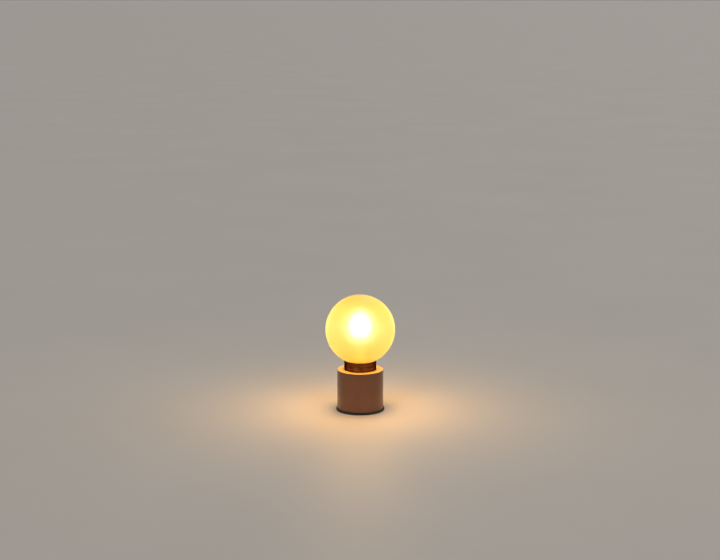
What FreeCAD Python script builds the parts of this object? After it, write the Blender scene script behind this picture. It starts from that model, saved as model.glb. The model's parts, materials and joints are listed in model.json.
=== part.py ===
import FreeCAD, Part
import math
import os

# Smart globe bulb with a screw cap, standing in a weighted cylindrical lamp-holder base.
# Millimetres, +Z up. The origin is the centre of the foot's underside, and the bulb is screwed home.
# Each function below makes one separate piece, and the last lines write one STEP file per piece.

# Driving dimensions: the outside of the object.
GLOBE_RADIUS = 30.0
GLOBE_CENTRE = 71.0
GLASS_WALL = 1.0
BASE_RADIUS = 20.0
BASE_TOP = 36.0
FOOT_RADIUS = 20.9
FOOT_TOP = 1.8
COLLAR_RADIUS = 13.95

# E27 screw: seven turns to the inch, with the standard's round crest.
# Its flank angle is the slope where crest and root meet.
PITCH = 25.4 / 7
THREAD_ARC = 1.025
FLANK_ANGLE = math.asin(PITCH / 4 / THREAD_ARC)
THREAD_DEPTH = 2 * THREAD_ARC * (1 - math.cos(FLANK_ANGLE))
THREAD_CLEARANCE = 0.3
THREAD_PHASE = 35.67
CAP_CREST = 13.15
CAP_ROOT = CAP_CREST - THREAD_DEPTH
SHEET = 0.4
CAP_BORE = CAP_ROOT - SHEET
SOCKET_LAND = CAP_ROOT + THREAD_CLEARANCE
SOCKET_GROOVE = CAP_CREST + THREAD_CLEARANCE
SOCKET_ARC = THREAD_ARC + 0.15

# Heights of the bulb.
TIP = 17.2
TIP_TOP = 18.4
CAP_BOTTOM = 23.0
CAP_TAPER_TOP = 25.4
CAP_THREAD_LOW = 26.6
COLLAR_LOW = 36.6
COLLAR_GROOVE = 40.35
CAP_THREAD_HIGH = COLLAR_LOW - 1.3
CAP_TOP = 41.2
DRIVER_FLOOR = 26.0
DRIVER_RIM = 38.2
STEM_PLATE_LOW = 38.3
STEM_PLATE_TOP = 39.5
COLUMN_LOW = 62.5
COLUMN_TOP = 79.5
DIFFUSER_MIDDLE = 73.0
DIFFUSER_TOP = 87.3

# Radii and thicknesses inside the bulb.
NECK_RADIUS = 11.2
NECK_LOW = 38.6
NECK_FILLET = 1.5
DRIVER_RADIUS = 11.5
DRIVER_WALL = 1.0
BOARD_FRONT = -1.6
BOARD_BACK = -2.6
BOARD_HALF_WIDTH = 9.2
STEM_SCREW_REACH = 7.0
STEM_OUTER = 3.6
STEM_INNER = 2.6
COLUMN_APOTHEM = 5.0
COLUMN_WALL = 1.2
STRIP_THICKNESS = 0.6
LED_SIZE = (2.8, 0.7, 3.5)
LED_SPACING = 4.0
LED_ROWS = 4
COLUMN_FACES = 6
RADIO_BACK = -1.1
RADIO_FRONT = -0.3
RADIO_TOP = 85.2
RADIO_HALF_WIDTH = 3.0
FLANGE_RADIUS = 6.4
FLANGE_HEIGHT = 1.4
DIFFUSER_RADIUS = 9.0
WIRE_RADIUS = 0.25
COLLAR_BORE = 12.12

# The drum inductor on the driver board.
INDUCTOR_PLACE = (4.8, 2.0)
INDUCTOR_LOW = 28.8
INDUCTOR_HIGH = 35.2
INDUCTOR_FLANGE = 3.0
INDUCTOR_WAIST = 1.4
INDUCTOR_RIM = 1.0

# Heights and radii of the base.
HOUSING_INNER = 18.4
RIM_INNER = 19.0
COVER_LOW = 34.1
COVER_SEAM = 35.0
SEAM_BEVEL = 0.15
COVER_HOLE = 13.75
LEDGE_LOW = 9.7
LEDGE_TOP = 11.5
LEDGE_INNER = 15.6
PORCELAIN_RADIUS = 16.9
PORCELAIN_INNER = 14.1
PORCELAIN_FLOOR = 14.0
PORCELAIN_TOP = 34.0
PLATE_TOP = 3.2
BALLAST_TOP = 6.2
INSULATION_TOP = 6.4
BOSS_REACH = 13.0
BOSS_RADIUS = 2.2
BOSS_ANGLES = (30, 150, 270)
BOSS_LOW = 3.3
SNAP_ANGLES = (90, 210, 330)
SNAP_LOW = 29.0
TAB_LOW = 10.9
TERMINAL_LOW = 6.6
TERMINAL_WIRE_HEIGHT = 9.3
LIVE_TERMINAL = (-4.7, -7.0)
NEUTRAL_TERMINAL = (10.0, -4.9)
RIVET_REACH = 10.2
RIVET_HOLE = 1.3

# The sprung centre contact.
CUP_RADIUS = 2.95
CUP_FLANGE = 4.6
CUP_BOTTOM = 9.0
CUP_WALL = 0.4
PLUNGER_TOP = 17.1
PLUNGER_HEAD_LOW = 15.95
PLUNGER_STEM = 0.85
PLUNGER_NECK = 0.55
CLIP_LOW = 8.5
SPRING_WIRE = 0.3
SPRING_MEAN = 1.75
SPRING_TURNS = 5

# The cord entry at the back.
CORD_HEIGHT = 7.5
CORD_BORE = 2.9
BUSHING_RADIUS = 3.8
BUSHING_INNER_END = 11.5
BUSHING_OUTER_END = 21.4
BUSHING_FLANGE = 5.4

GAP = 0.05
ORIGIN = FreeCAD.Vector(0, 0, 0)
UP = FreeCAD.Vector(0, 0, 1)
BACK = FreeCAD.Vector(0, 1, 0)


def rod(radius, low, high, x=0.0, y=0.0):
    """Upright cylinder between two heights."""
    return Part.makeCylinder(radius, high - low, FreeCAD.Vector(x, y, low), UP)


def tube(outer, inner, low, high):
    """Upright tube about the Z axis."""
    return rod(outer, low, high).cut(rod(inner, low - 1, high + 1))


def block(x, y, z):
    """Box given by its low and high limits along each axis."""
    corner = FreeCAD.Vector(x[0], y[0], z[0])
    return Part.makeBox(x[1] - x[0], y[1] - y[0], z[1] - z[0], corner)


def centred(x, y, width, depth, low, high):
    """Box centred on x, y."""
    return block((x - width / 2, x + width / 2), (y - depth / 2, y + depth / 2), (low, high))


def rear_rod(radius, start, end, x=0.0, z=CORD_HEIGHT):
    """Cylinder along Y, from one Y to another."""
    return Part.makeCylinder(radius, end - start, FreeCAD.Vector(x, start, z), BACK)


def wire_of(outline):
    """Closed wire in the XZ plane. A step is a corner (r, z), or an arc as (middle point, end point)."""
    edges = []
    here = FreeCAD.Vector(outline[0][0], 0, outline[0][1])
    first = here
    for step in [*outline[1:], outline[0]]:
        if isinstance(step[0], tuple):
            middle = FreeCAD.Vector(step[0][0], 0, step[0][1])
            end = FreeCAD.Vector(step[1][0], 0, step[1][1])
            edges.append(Part.Arc(here, middle, end).toShape())
        else:
            end = FreeCAD.Vector(step[0], 0, step[1])
            if here.distanceToPoint(end) < 1e-7:
                continue
            edges.append(Part.LineSegment(here, end).toShape())
        here = end
    assert here.distanceToPoint(first) < 1e-6
    return Part.Wire(edges)


def dome(rim, rim_height, top):
    """Arc step from a rim over to the axis, part of a sphere centred on the axis."""
    rise = top - rim_height
    radius = (rim**2 + rise**2) / (2 * rise)
    half = math.asin(rim / abs(radius)) / 2
    return (abs(radius) * math.sin(half), top - radius + radius * math.cos(half)), (0, top)


def turned(outline):
    """Solid turned about the Z axis from a closed outline of (radius, height) steps."""
    return Part.Face(wire_of(outline)).revolve(ORIGIN, UP, 360)


def around(shape, angles):
    """Copies of a shape turned about the Z axis to each angle."""
    return [shape.copy().rotate(ORIGIN, UP, angle) for angle in angles]


def fused(shapes):
    """One solid from shapes that overlap."""
    return shapes[0].fuse(list(shapes[1:])).removeSplitter()


def polar(reach, angle):
    """Point at a radius and an angle in degrees."""
    return reach * math.cos(math.radians(angle)), reach * math.sin(math.radians(angle))


def spring_path(radius, pitch, low, high):
    """Right-hand helix about the Z axis."""
    path = Part.makeHelix(pitch, high - low, radius)
    path.translate(FreeCAD.Vector(0, 0, low))
    return path


def thread_bead(crest, arc, foot, low, high):
    """Round-crested screw bead from low to high, with straight flanks that run in to the foot radius."""
    rise = arc * math.sin(FLANK_ANGLE)
    shoulder = crest - arc * (1 - math.cos(FLANK_ANGLE))
    half_width = rise + (shoulder - foot) / math.tan(FLANK_ANGLE)
    outline = [(foot, -half_width), (shoulder, -rise), ((crest, 0), (shoulder, rise)), (foot, half_width)]
    path = Part.makeHelix(PITCH, high - low, foot)
    bead = path.makePipeShell([wire_of(outline)], True, True)
    bead.rotate(ORIGIN, UP, 360 * (low - THREAD_PHASE) / PITCH)
    bead.translate(FreeCAD.Vector(0, 0, low))
    return bead


def hexagon(apothem, low, high):
    """Upright hexagonal prism with flats facing +Y and -Y."""
    corner = apothem / math.cos(math.pi / COLUMN_FACES)
    points = [FreeCAD.Vector(*polar(corner, 60 * i), low) for i in range(COLUMN_FACES)]
    return Part.Face(Part.makePolygon([*points, points[0]])).extrude(FreeCAD.Vector(0, 0, high - low))


def cross_slot(x, y, low, high, length=2.2, width=0.5):
    """Two crossed boxes, for a screwdriver recess."""
    return centred(x, y, length, width, low, high).fuse(centred(x, y, width, length, low, high))


# The bulb's envelope and neck.


def glass_globe():
    """Frosted glass globe, blown in one piece with the short neck that is cemented into the cap."""
    reach = GLOBE_RADIUS + NECK_FILLET
    fillet_r = NECK_RADIUS + NECK_FILLET
    fillet_z = GLOBE_CENTRE - math.sqrt(reach**2 - fillet_r**2)
    lean = math.atan2(fillet_r, GLOBE_CENTRE - fillet_z)
    inner_radius = GLOBE_RADIUS - GLASS_WALL

    def on_sphere(radius, angle):
        return radius * math.sin(angle), GLOBE_CENTRE - radius * math.cos(angle)

    def on_fillet(radius, angle):
        return fillet_r - radius * math.sin(angle), fillet_z + radius * math.cos(angle)

    side = (lean + math.pi) / 2
    bend = (lean + math.pi / 2) / 2
    inner_fillet = NECK_FILLET + GLASS_WALL
    outline = [
        (0, GLOBE_CENTRE + GLOBE_RADIUS),
        (on_sphere(GLOBE_RADIUS, side), on_sphere(GLOBE_RADIUS, lean)),
        (on_fillet(NECK_FILLET, bend), (NECK_RADIUS, fillet_z)),
        (NECK_RADIUS, NECK_LOW),
        (NECK_RADIUS - GLASS_WALL, NECK_LOW),
        (NECK_RADIUS - GLASS_WALL, fillet_z),
        (on_fillet(inner_fillet, bend), on_sphere(inner_radius, lean)),
        (on_sphere(inner_radius, side), (0, GLOBE_CENTRE + inner_radius)),
    ]
    return turned(outline)


def neck_collar():
    """Metal trim sleeve over the cap's upper end: two crowned bands, with a top dished to the globe."""
    shoulder, high = COLLAR_RADIUS - 0.25, GLOBE_CENTRE - 26.0
    below, above = COLLAR_GROOVE - 0.25, COLLAR_GROOVE + 0.25
    ring = turned([
        (COLLAR_BORE, COLLAR_LOW), (shoulder, COLLAR_LOW),
        ((COLLAR_RADIUS, (COLLAR_LOW + below) / 2), (shoulder, below)),
        (COLLAR_RADIUS - 0.6, COLLAR_GROOVE), (shoulder, above),
        ((COLLAR_RADIUS, (above + high) / 2), (shoulder, high)), (COLLAR_BORE, high),
    ])
    return ring.cut(Part.makeSphere(GLOBE_RADIUS + 0.12, FreeCAD.Vector(0, 0, GLOBE_CENTRE)))


def neck_cement():
    """Cement ring that holds the glass neck."""
    return tube(COLLAR_BORE - 0.08, NECK_RADIUS + GAP / 2, CAP_TOP + GAP, CAP_TOP + 0.9)


def cap_shell():
    """E27 screw cap in sheet metal: a plain sleeve inside the collar, the thread, and a taper below."""
    body = turned([
        (9.6, CAP_BOTTOM), (CAP_ROOT, CAP_TAPER_TOP - 0.2), (CAP_ROOT, CAP_TOP), (CAP_BORE, CAP_TOP),
        (CAP_BORE, CAP_TAPER_TOP + 0.1), (9.2, CAP_BOTTOM + 0.3), (9.2, CAP_BOTTOM),
    ])
    bead = thread_bead(CAP_CREST, THREAD_ARC, CAP_ROOT - SHEET / 2, CAP_THREAD_LOW, CAP_THREAD_HIGH)
    return body.fuse(bead)


def cap_insulator():
    """Black glass cone between the screw shell and the centre contact."""
    hole = 0.9
    return turned([
        (hole, TIP_TOP + GAP), (5.0, TIP_TOP + GAP), (5.4, TIP_TOP + 0.5), (9.1, CAP_BOTTOM),
        (9.1, CAP_BOTTOM + 0.35), (11.5, CAP_TAPER_TOP + 0.1), (11.5, CAP_TAPER_TOP + 0.5),
        (hole, CAP_TAPER_TOP + 0.5),
    ])


def cap_tip_contact():
    """Soldered centre contact: a low dome, round about the screw's axis."""
    rim, dome_rim, dome_height = 4.9, 4.3, TIP + 0.5
    return turned([
        (0, TIP_TOP), (rim, TIP_TOP), (rim, TIP + 0.8), (dome_rim, dome_height),
        dome(dome_rim, dome_height, TIP),
    ])


# The driver inside the cap.


def driver_housing():
    """Plastic cup that insulates the driver from the cap and carries the stem plate."""
    inner = DRIVER_RADIUS - DRIVER_WALL
    hollow = rod(inner, DRIVER_FLOOR + DRIVER_WALL, DRIVER_RIM + 1)
    cup = rod(DRIVER_RADIUS, DRIVER_FLOOR, DRIVER_RIM).cut(hollow)
    boss_low = 33.0
    for side in (-1, 1):
        y = side * STEM_SCREW_REACH
        web = centred(0, side * 9.2, 1.6, 3.2, boss_low, DRIVER_RIM)
        cup = cup.fuse([rod(2.0, boss_low, DRIVER_RIM, 0, y), web])
        cup = cup.cut(rod(0.9, boss_low + 0.5, DRIVER_RIM + 1, 0, y))
    cup = cup.cut(rod(0.9, DRIVER_FLOOR - 1, DRIVER_FLOOR + 2))
    lead_slot = block((-DRIVER_RADIUS - 1, -inner + 0.5), (BOARD_BACK - 0.2, BOARD_FRONT + 0.2), (27.6, 29.4))
    return cup.cut(lead_slot).removeSplitter()


def driver_board():
    """Upright circuit board with chamfered lower corners."""
    low, high = 27.2, 37.9
    board = block((-BOARD_HALF_WIDTH, BOARD_HALF_WIDTH), (BOARD_BACK, BOARD_FRONT), (low, high))
    notch = centred(0, BOARD_BACK, 2.4, 4.0, low - 1, low + 1.2)
    return board.cut(notch)


def bulk_capacitor():
    """Electrolytic can with its crimp groove and two legs to the board."""
    x, y, radius = -5.2, 2.2, 3.15
    low, high = 28.0, 37.0
    can = turned([
        (0, low), (radius - 0.3, low), (radius, low + 0.3), (radius, low + 0.9),
        ((radius - 0.35, low + 1.3), (radius, low + 1.7)),
        (radius, high - 0.3), (radius - 0.3, high), (0, high),
    ])
    can.translate(FreeCAD.Vector(x, y, 0))
    legs = [rear_rod(0.3, BOARD_FRONT, y - 1, x, z) for z in (low + 2.6, high - 1.2)]
    return fused([can, *legs])


def line_capacitor():
    """Boxed film capacitor on the back of the board."""
    return block((2.4, 8.2), (BOARD_BACK - 3.8, BOARD_BACK), (28.6, 35.6))


def rectifier():
    """Bridge rectifier package with four flat legs."""
    body = block((-7.4, -2.8), (BOARD_BACK - 1.5, BOARD_BACK - 0.1), (33.6, 37.2))
    legs = [centred(x, BOARD_BACK - 0.25, 0.6, 0.5, 33.0, 37.8) for x in (-6.4, -3.8)]
    return fused([body, *legs])


def driver_chip():
    """Eight-legged driver chip."""
    body = block((-7.3, -2.9), (BOARD_BACK - 1.4, BOARD_BACK - 0.1), (28.8, 32.0))
    legs = [centred(x, BOARD_BACK - 0.2, 0.4, 0.4, 28.1, 32.6) for x in (-6.8, -5.65, -4.5, -3.4)]
    return fused([body, *legs])


def power_inductor():
    """Ferrite drum core with two legs to the board."""
    x, y = INDUCTOR_PLACE
    low, high = INDUCTOR_LOW, INDUCTOR_HIGH
    flange, waist, rim = INDUCTOR_FLANGE, INDUCTOR_WAIST, INDUCTOR_RIM
    core = turned([
        (0, low), (flange, low), (flange, low + rim), (waist, low + rim),
        (waist, high - rim), (flange, high - rim), (flange, high), (0, high),
    ])
    core.translate(FreeCAD.Vector(x, y, 0))
    legs = [rear_rod(WIRE_RADIUS, BOARD_FRONT, y, x, z) for z in (low + 0.5, high - 0.5)]
    return fused([core, *legs])


def inductor_winding():
    """Copper winding on the drum core."""
    low, high = INDUCTOR_LOW + INDUCTOR_RIM + GAP, INDUCTOR_HIGH - INDUCTOR_RIM - GAP
    coil = tube(INDUCTOR_FLANGE - 0.4, INDUCTOR_WAIST + GAP, low, high)
    coil.translate(FreeCAD.Vector(*INDUCTOR_PLACE, 0))
    return coil


def fuse_resistor():
    """Fusible resistor between the centre contact's lead and the board, dumb-bell shaped."""
    low, high = 29.0, 35.0
    body = turned([
        (0, low), (0.9, low), ((1.1, low + 0.6), (0.95, low + 1.2)), (0.95, high - 1.2),
        ((1.1, high - 0.6), (0.9, high)), (0, high),
    ])
    lead = rod(0.3, high - 0.2, high + 1.3)
    turn = rear_rod(0.2, BOARD_FRONT, 0, 0, high + 1.0)
    return fused([body, lead, turn])


def live_lead():
    """Lead from the centre contact up to the fusible resistor."""
    return rod(0.3, TIP_TOP + GAP, 29.0)


def neutral_lead():
    """Lead from the board out through the housing's slot to the screw shell."""
    y = (BOARD_BACK + BOARD_FRONT) / 2
    reach = math.sqrt(CAP_BORE**2 - y**2) - GAP
    start, along_x = FreeCAD.Vector(-reach, y, 28.5), FreeCAD.Vector(1, 0, 0)
    return Part.makeCylinder(WIRE_RADIUS, reach - BOARD_HALF_WIDTH, start, along_x)


# The light engine inside the globe.


def stem_plate():
    """Aluminium disc that closes the neck, spreads the heat and carries the stem."""
    plate = tube(9.9, 2.7, STEM_PLATE_LOW, STEM_PLATE_TOP)
    screw_places = (-STEM_SCREW_REACH, STEM_SCREW_REACH)
    return plate.cut([rod(1.0, STEM_PLATE_LOW - 1, STEM_PLATE_TOP + 1, 0, y) for y in screw_places])


def reflector_disc():
    """Thin white reflector on the stem plate, open round the stem and the screw heads."""
    sheet = tube(9.8, STEM_OUTER + 0.8, STEM_PLATE_TOP, STEM_PLATE_TOP + 0.25)
    heads = [rod(2.0, 39, 41, 0, y) for y in (-STEM_SCREW_REACH, STEM_SCREW_REACH)]
    return sheet.cut(heads)


def stem_screws():
    """Two pan-head screws from the stem plate into the driver housing."""
    screws = []
    for y in (-STEM_SCREW_REACH, STEM_SCREW_REACH):
        head = turned([
            (0, STEM_PLATE_TOP), (1.7, STEM_PLATE_TOP), (1.7, STEM_PLATE_TOP + 0.5),
            ((1.4, STEM_PLATE_TOP + 0.95), (0.8, STEM_PLATE_TOP + 1.1)), (0, STEM_PLATE_TOP + 1.1),
        ])
        head.translate(FreeCAD.Vector(0, y, 0))
        screw = fused([head, rod(0.85, 34.0, STEM_PLATE_TOP + 0.2, 0, y)])
        screws.append(screw.cut(cross_slot(0, y, STEM_PLATE_TOP + 0.5, STEM_PLATE_TOP + 2, 2.0, 0.45)))
    return Part.makeCompound(screws)


def stem_tube():
    """Hollow stem with a foot on the stem plate and a flange under the LED column."""
    return turned([
        (STEM_INNER, STEM_PLATE_TOP + 0.01), (STEM_OUTER + 0.7, STEM_PLATE_TOP + 0.01),
        ((STEM_OUTER + 0.2, STEM_PLATE_TOP + 1.0), (STEM_OUTER, STEM_PLATE_TOP + 2.2)),
        (STEM_OUTER, COLUMN_LOW - FLANGE_HEIGHT - 2), (FLANGE_RADIUS, COLUMN_LOW - FLANGE_HEIGHT),
        (FLANGE_RADIUS, COLUMN_LOW), (STEM_INNER, COLUMN_LOW),
    ])


def led_column():
    """Hexagonal aluminium tube that the LED strips are bonded to."""
    bore = hexagon(COLUMN_APOTHEM - COLUMN_WALL, COLUMN_LOW - 1, COLUMN_TOP + 1)
    return hexagon(COLUMN_APOTHEM, COLUMN_LOW, COLUMN_TOP).cut(bore)


def face_angles():
    """Turn of each column face from the one that faces -Y."""
    return [60 * i for i in range(COLUMN_FACES)]


def led_strips():
    """Six narrow circuit boards, one on each face of the column."""
    y = -COLUMN_APOTHEM - STRIP_THICKNESS / 2
    strip = centred(0, y, 5.0, STRIP_THICKNESS, COLUMN_LOW + 0.5, COLUMN_TOP - 0.5)
    return Part.makeCompound(around(strip, face_angles()))


def leds(first_row):
    """Every second LED, in rows that step from one face to the next."""
    width, thickness, height = LED_SIZE
    y = -COLUMN_APOTHEM - STRIP_THICKNESS - thickness / 2
    middle = (COLUMN_LOW + COLUMN_TOP) / 2
    packages = []
    for face, angle in enumerate(face_angles()):
        for row in range((first_row + face) % 2, LED_ROWS, 2):
            z = middle + (row - (LED_ROWS - 1) / 2) * LED_SPACING
            package = centred(0, y, width, thickness, z - height / 2, z + height / 2)
            packages.extend(around(package, [angle]))
    return Part.makeCompound(packages)


def column_cap():
    """Moulded cap on the column, slotted for the radio board."""
    cap = hexagon(COLUMN_APOTHEM + 0.2, COLUMN_TOP, COLUMN_TOP + 1.3)
    slot_x = (-RADIO_HALF_WIDTH - 0.2, RADIO_HALF_WIDTH + 0.2)
    return cap.cut(block(slot_x, (RADIO_BACK - 0.2, RADIO_FRONT + 0.2), (COLUMN_TOP - 1, COLUMN_TOP + 3)))


def column_diffuser():
    """Opal oval sleeve over the LED column. Its open end snaps on the stem's flange."""
    wall, upper, lower = 0.8, 20.0, 40.0
    back = upper - DIFFUSER_RADIUS
    slack = upper - (DIFFUSER_TOP - DIFFUSER_MIDDLE)
    lean = math.atan2((back**2 - slack**2) / (2 * slack), back)

    def shoulder(inset, angle):
        reach = upper - inset
        return reach * math.cos(angle) - back, DIFFUSER_MIDDLE + reach * math.sin(angle)

    def skirt(inset, z):
        return math.sqrt((lower - inset)**2 - (DIFFUSER_MIDDLE - z)**2) - (lower - DIFFUSER_RADIUS), z

    foot, seat, bore = COLUMN_LOW - FLANGE_HEIGHT, COLUMN_LOW + 0.1, FLANGE_RADIUS + GAP
    crown, inner_crown = shoulder(0, lean), shoulder(wall, lean)
    return turned([
        skirt(0, foot), (skirt(0, (foot + DIFFUSER_MIDDLE) / 2), skirt(0, DIFFUSER_MIDDLE)),
        (shoulder(0, lean / 2), crown), dome(*crown, DIFFUSER_TOP), (0, DIFFUSER_TOP - wall),
        (dome(*inner_crown, DIFFUSER_TOP - wall)[0], inner_crown),
        (shoulder(wall, lean / 2), shoulder(wall, 0)),
        (skirt(wall, (seat + DIFFUSER_MIDDLE) / 2), skirt(wall, seat)), (bore, seat), (bore, foot),
    ])


def radio_board():
    """Narrow radio board that stands in the column, with its aerial end above the cap."""
    return block((-RADIO_HALF_WIDTH, RADIO_HALF_WIDTH), (RADIO_BACK, RADIO_FRONT), (66.0, RADIO_TOP))


def radio_shield():
    """Screening can over the radio chip."""
    return block((-2.7, 2.7), (RADIO_FRONT, RADIO_FRONT + 1.3), (70.0, 79.0))


def antenna_trace():
    """Copper meander aerial on the board's upper end: upright bars, joined at the top and bottom in turn."""
    line, step, count = 0.45, 0.95, 6
    depth = (RADIO_FRONT, RADIO_FRONT + 0.12)
    low, high = RADIO_TOP - 4.0, RADIO_TOP - 0.5
    starts = [(i - (count - 1) / 2) * step - line / 2 for i in range(count)]
    pieces = [block((x, x + line), depth, (low, high)) for x in starts]
    for i, x in enumerate(starts[:-1]):
        z = low if i % 2 else high - line
        pieces.append(block((x, x + step + line), depth, (z, z + line)))
    return fused(pieces)


def led_harness():
    """Four wires from the driver board up the stem to the column and the radio board."""
    y = RADIO_BACK - WIRE_RADIUS
    return Part.makeCompound([rod(WIRE_RADIUS, 36.7, 68.0, x, y) for x in (-1.5, -0.5, 0.5, 1.5)])


# The base.


def boss_places():
    """Centre of each screw boss."""
    return [polar(BOSS_REACH, angle) for angle in BOSS_ANGLES]


def ring_sector(outer, inner, low, high, angle, width):
    """Part of an upright ring, width wide, centred on an angle."""
    cutter = block((0, outer + 5), (-width / 2, width / 2), (low, high)).rotate(ORIGIN, UP, angle)
    return tube(outer, inner, low, high).common(cutter)


def base_housing():
    """Cylindrical outer case: wall, the ledge that the porcelain stands on, and three screw bosses."""
    wall = turned([
        (HOUSING_INNER, FOOT_TOP), (BASE_RADIUS - 0.3, FOOT_TOP), (BASE_RADIUS, FOOT_TOP + 0.3),
        (BASE_RADIUS, COVER_SEAM - SEAM_BEVEL), (BASE_RADIUS - SEAM_BEVEL, COVER_SEAM),
        (RIM_INNER, COVER_SEAM), (RIM_INNER, COVER_LOW), (HOUSING_INNER, COVER_LOW),
        (HOUSING_INNER, LEDGE_TOP), (LEDGE_INNER, LEDGE_TOP), (LEDGE_INNER, LEDGE_LOW),
        (HOUSING_INNER, LEDGE_LOW),
    ])
    lug = block((BOSS_REACH, HOUSING_INNER - 1), (-2.2, 2.2), (LEDGE_LOW, LEDGE_TOP))
    bosses = [rod(BOSS_RADIUS, BOSS_LOW, LEDGE_TOP, x, y) for x, y in boss_places()]
    wall = wall.fuse([*around(lug, BOSS_ANGLES), *bosses])
    pilots = [rod(1.05, BOSS_LOW - 1, 8.6, x, y) for x, y in boss_places()]
    pocket = (HOUSING_INNER + 0.5, HOUSING_INNER - 1, SNAP_LOW - 0.3, SNAP_LOW + 1.5)
    pockets = [ring_sector(*pocket, angle, 8.0) for angle in SNAP_ANGLES]
    ledge_notch = block((-5.6, 5.6), (10, HOUSING_INNER - 0.3), (LEDGE_LOW - 1, LEDGE_TOP + 0.1))
    notch = ledge_notch.common(rod(HOUSING_INNER, 0, 20))
    entry = rear_rod(BUSHING_RADIUS + GAP, 17.0, BASE_RADIUS + 1)
    return wall.cut([*pilots, *pockets, notch, entry]).removeSplitter()


def top_cover():
    """Ring that closes the base round the bulb's cap: a rounded rim over the case, and three snap legs."""
    edge, lip = 0.5, 0.6
    seat, inset = COVER_SEAM + GAP, 1 - math.sqrt(0.5)
    ring = turned([
        (COVER_HOLE, COVER_LOW), (RIM_INNER - GAP, COVER_LOW), (RIM_INNER - GAP, seat),
        (BASE_RADIUS - SEAM_BEVEL, seat), (BASE_RADIUS, seat + SEAM_BEVEL), (BASE_RADIUS, BASE_TOP - lip),
        ((BASE_RADIUS - lip * inset, BASE_TOP - lip * inset), (BASE_RADIUS - lip, BASE_TOP)),
        (COVER_HOLE + edge, BASE_TOP),
        ((COVER_HOLE + edge * inset, BASE_TOP - edge * inset), (COVER_HOLE, BASE_TOP - edge)),
    ])
    leg_outer, width = HOUSING_INNER - 0.2, 6.0
    leg = (leg_outer, leg_outer - 1.1, SNAP_LOW, COVER_LOW + 0.2)
    legs = [ring_sector(*leg, angle, width) for angle in SNAP_ANGLES]
    hook = (leg_outer + 0.55, leg_outer - 0.6, SNAP_LOW, SNAP_LOW + 1.2)
    hooks = [ring_sector(*hook, angle, width) for angle in SNAP_ANGLES]
    return fused([ring, *legs, *hooks])


def socket_porcelain():
    """Porcelain cup that insulates the screw shell and carries the contacts under its floor."""
    round_edge = 0.8
    cup = turned([
        (CUP_RADIUS + GAP, LEDGE_TOP), (PORCELAIN_RADIUS - round_edge, LEDGE_TOP),
        ((PORCELAIN_RADIUS - round_edge * 0.293, LEDGE_TOP + round_edge * 0.293),
         (PORCELAIN_RADIUS, LEDGE_TOP + round_edge)),
        (PORCELAIN_RADIUS, PORCELAIN_TOP), (PORCELAIN_INNER, PORCELAIN_TOP),
        (PORCELAIN_INNER, PORCELAIN_FLOOR), (CUP_RADIUS + GAP, PORCELAIN_FLOOR),
    ])
    holes = [rod(RIVET_HOLE, LEDGE_TOP - 1, PORCELAIN_FLOOR + 1, x, 0) for x in (-RIVET_REACH, RIVET_REACH)]
    return cup.cut(holes)


def screw_shell():
    """Rolled brass screw shell of the socket, with a floor flange that is riveted to the porcelain."""
    thread_low, tall = 24.4, PORCELAIN_TOP + 4
    sleeve = rod(SOCKET_LAND + SHEET, PORCELAIN_FLOOR, tall)
    ridge = thread_bead(SOCKET_GROOVE + SHEET, SOCKET_ARC + SHEET / 2, SOCKET_LAND, thread_low, tall - 1.8)
    groove = thread_bead(SOCKET_GROOVE, SOCKET_ARC, SOCKET_LAND - SHEET, thread_low + 0.02, tall - 1.1)
    well = rod(SOCKET_LAND, PORCELAIN_FLOOR + SHEET, tall + 1)
    shell = sleeve.fuse(ridge).cut(groove).cut(well)
    shell = shell.cut(rod(BASE_RADIUS, PORCELAIN_TOP, tall + 2))
    below, above = PORCELAIN_FLOOR - 1, PORCELAIN_FLOOR + 1
    holes = [rod(RIVET_HOLE, below, above, x, 0) for x in (-RIVET_REACH, RIVET_REACH)]
    return shell.cut(rod(8.4, below, above)).cut(holes)


def shell_rivets():
    """Two rivets through the shell's flange and the porcelain floor."""
    head_low, tail_low = PORCELAIN_FLOOR + SHEET, TAB_LOW - 0.6
    shank, tail, head = RIVET_HOLE - GAP, 1.9, 2.0
    rivet = turned([
        (0, tail_low), (tail - 0.3, tail_low), (tail, tail_low + 0.2), (tail, TAB_LOW), (shank, TAB_LOW),
        (shank, head_low), (head, head_low), dome(head, head_low, head_low + 0.7),
    ])
    rivets = []
    for x in (-RIVET_REACH, RIVET_REACH):
        copy = rivet.copy()
        copy.translate(FreeCAD.Vector(x, 0, 0))
        rivets.append(copy)
    return Part.makeCompound(rivets)


def rivet_washer():
    """Washer under the rivet that has no terminal tab."""
    washer = tube(2.6, RIVET_HOLE, TAB_LOW, LEDGE_TOP)
    washer.translate(FreeCAD.Vector(-RIVET_REACH, 0, 0))
    return washer


def terminal_block(x, y):
    """Tunnel terminal: a brass block with a wire tunnel along Y and a tapped hole from below."""
    size = 4.6
    brass = centred(x, y, size, size, TERMINAL_LOW, TAB_LOW + 0.1)
    tunnel = rear_rod(1.1, y - size, y + size, x, TERMINAL_WIRE_HEIGHT)
    return brass.cut([tunnel, rod(1.3, TERMINAL_LOW - 1, TERMINAL_WIRE_HEIGHT, x, y)])


def live_terminal():
    """Live terminal with the strap that rings the contact cup."""
    x, y = LIVE_TERMINAL
    eye = rod(4.4, TAB_LOW, LEDGE_TOP)
    strap = block((x - 2.3, x + 2.3), (y - 2.3, 0), (TAB_LOW, LEDGE_TOP))
    piece = fused([eye, strap, terminal_block(x, y)])
    return piece.cut(rod(CUP_RADIUS + GAP / 2, TAB_LOW - 1, LEDGE_TOP + 1))


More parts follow.
